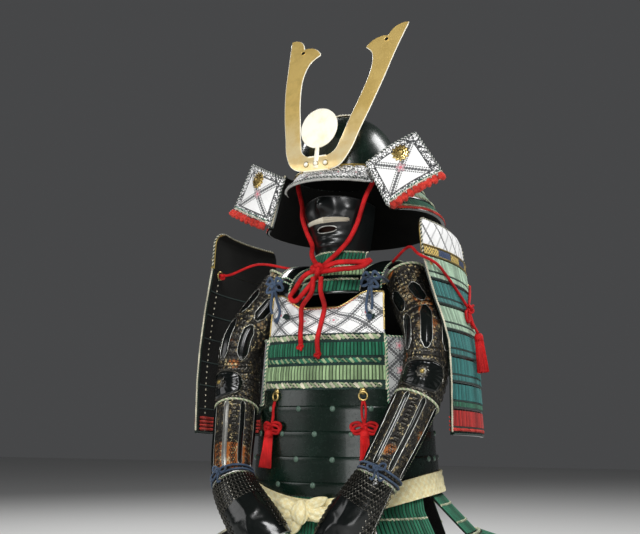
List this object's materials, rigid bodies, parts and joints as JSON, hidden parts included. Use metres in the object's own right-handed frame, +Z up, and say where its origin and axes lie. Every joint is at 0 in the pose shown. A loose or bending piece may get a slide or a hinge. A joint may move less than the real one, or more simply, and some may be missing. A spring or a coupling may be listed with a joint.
{
  "type": "samurai armour",
  "caption": "Hollow suit of laced samurai armour in a seated pose, with horned helmet, half mask, breastplate, mailed sleeves, shoulder guards and skirt panels.",
  "frame": {"origin": "middle of the line between the wearer's shoulders, under the two shoulder straps", "axes": "+Z up, the armour faces -Y, the wearer's left side is at +X"},
  "size_m": [0.7673, 0.5459, 1.2301],
  "materials": {
    "black_lacquer": "glossy black-green lacquer over iron and rawhide",
    "stencilled_leather": "white deerskin with grey stencilled lines and flowers",
    "green_lacing": "flat silk braid in close vertical rows with cream twist",
    "teal_lacing": "flat silk braid in pale green and teal rows",
    "sleeve_cloth": "brown and gold brocade under black mail and splints",
    "sash_brocade": "pale yellow silk brocade",
    "gilt_metal": "polished gilt brass",
    "pale_gilt": "bright pale gilt",
    "red_cord": "round silk braid",
    "coral_braid": "thick knotted silk braid",
    "blue_cord": "thin indigo braid",
    "white_hair": "off-white horse hair"
  },
  "bodies": {
    "root": {"breast_top": "stencilled_leather", "breast_lacing": "green_lacing", "breast_lames": "black_lacquer", "back_lames": "black_lacquer", "back_lacing": "green_lacing", "back_top": "stencilled_leather", "side_panel_left": "stencilled_leather", "side_panel_right": "stencilled_leather", "strap_left": "black_lacquer", "strap_right": "black_lacquer", "sash": "sash_brocade", "sash_knot": "sash_brocade", "skirt_front": "green_lacing", "skirt_front_left": "green_lacing", "skirt_front_right": "green_lacing", "skirt_side_left": "green_lacing", "skirt_side_right": "green_lacing", "skirt_back_left": "green_lacing", "skirt_back_right": "green_lacing", "guard_cap_left": "stencilled_leather", "guard_cap_right": "stencilled_leather", "guard_left": "teal_lacing", "guard_right": "teal_lacing", "sleeve_left": "sleeve_cloth", "sleeve_right": "sleeve_cloth", "elbow_left": "black_lacquer", "elbow_right": "black_lacquer", "hand_left": "black_lacquer", "hand_right": "black_lacquer", "helmet_bowl": "black_lacquer", "crown_ring": "gilt_metal", "visor": "stencilled_leather", "neck_guard": "green_lacing", "turnback_left": "stencilled_leather", "turnback_right": "stencilled_leather", "turnback_braid_left": "coral_braid", "turnback_braid_right": "coral_braid", "boss_left": "gilt_metal", "boss_right": "gilt_metal", "crest_horns": "gilt_metal", "crest_disc": "pale_gilt", "mask": "black_lacquer", "moustache": "white_hair", "throat_guard": "green_lacing", "chin_cord": "red_cord", "chin_tail_left": "red_cord", "chin_tail_right": "red_cord", "tie_left": "blue_cord", "tie_right": "blue_cord", "fitting_ring_left": "gilt_metal", "fitting_ring_right": "gilt_metal", "fitting_bow_left": "red_cord", "fitting_bow_right": "red_cord", "fitting_tassel_left": "red_cord", "fitting_tassel_right": "red_cord", "guard_cord_left": "red_cord", "guard_cord_right": "red_cord", "guard_tassel_left": "red_cord"}
  },
  "joints": []
}
